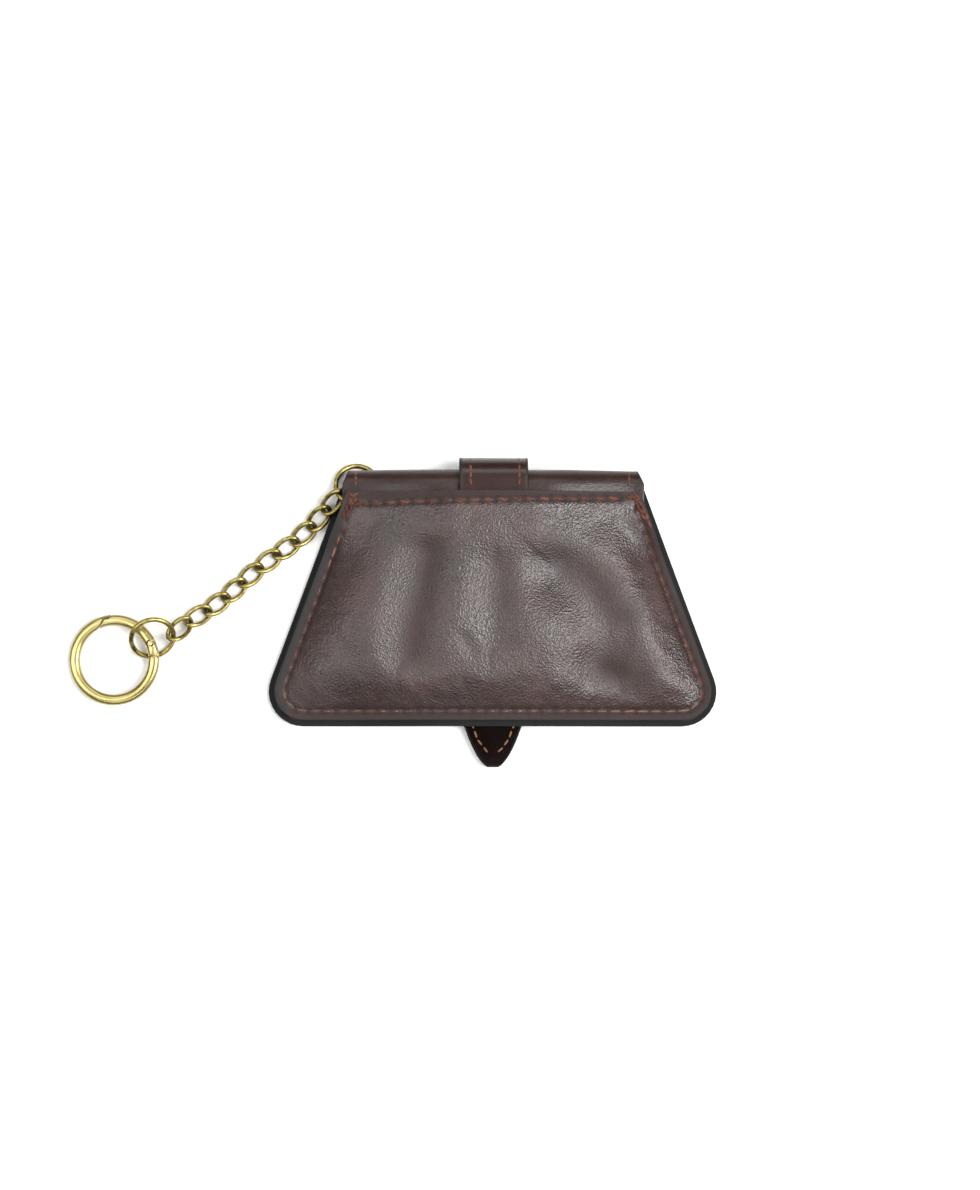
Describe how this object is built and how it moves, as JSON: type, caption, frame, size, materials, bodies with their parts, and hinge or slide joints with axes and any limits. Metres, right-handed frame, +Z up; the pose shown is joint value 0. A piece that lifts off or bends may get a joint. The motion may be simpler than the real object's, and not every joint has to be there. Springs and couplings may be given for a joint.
{
  "type": "satchel purse with chain and spring gate ring",
  "caption": "Small leather satchel purse lying face down, with a flap, a closing strap, a curb chain and a spring gate ring to hang it from a bag.",
  "frame": {"origin": "on the flat underside that the purse rests on, under the strap in the middle of the flap", "axes": "+Z up, out of the back panel; +Y from the bottom edge towards the spine; +X along the bottom edge, away from the chain"},
  "size_m": [0.1781, 0.0848, 0.0155],
  "materials": {
    "brown_leather": "soft, waxed, half gloss",
    "dark_leather": "smooth, glossy",
    "brass": "polished",
    "antique_brass": "polished, darkened in the hollows"
  },
  "bodies": {
    "satchel": {"back_panel": "brown_leather", "front_panel": "brown_leather", "flap": "brown_leather", "strap_outer": "brown_leather", "strap_lining": "dark_leather", "strap_stud": "brass", "bag_ring": "antique_brass", "chain_link_01": "antique_brass", "chain_link_02": "antique_brass", "chain_link_03": "antique_brass", "chain_link_04": "antique_brass", "chain_link_05": "antique_brass", "chain_link_06": "antique_brass", "chain_link_07": "antique_brass", "chain_link_08": "antique_brass", "chain_link_09": "antique_brass", "chain_link_10": "antique_brass", "jump_ring": "antique_brass", "spring_ring": "brass", "gate_rivet": "brass"},
    "gate": {"ring_gate": "brass"}
  },
  "joints": [
    {"name": "gate_hinge", "type": "hinge", "parent": "satchel", "child": "gate", "pos_m": [-0.09405, -0.01284, 0.00335], "axis": [-0.0976, 0, 0.9952], "range_deg": [0, 25], "stiffness_Nm_per_rad": 0.01, "springref_deg": -8.59}
  ]
}
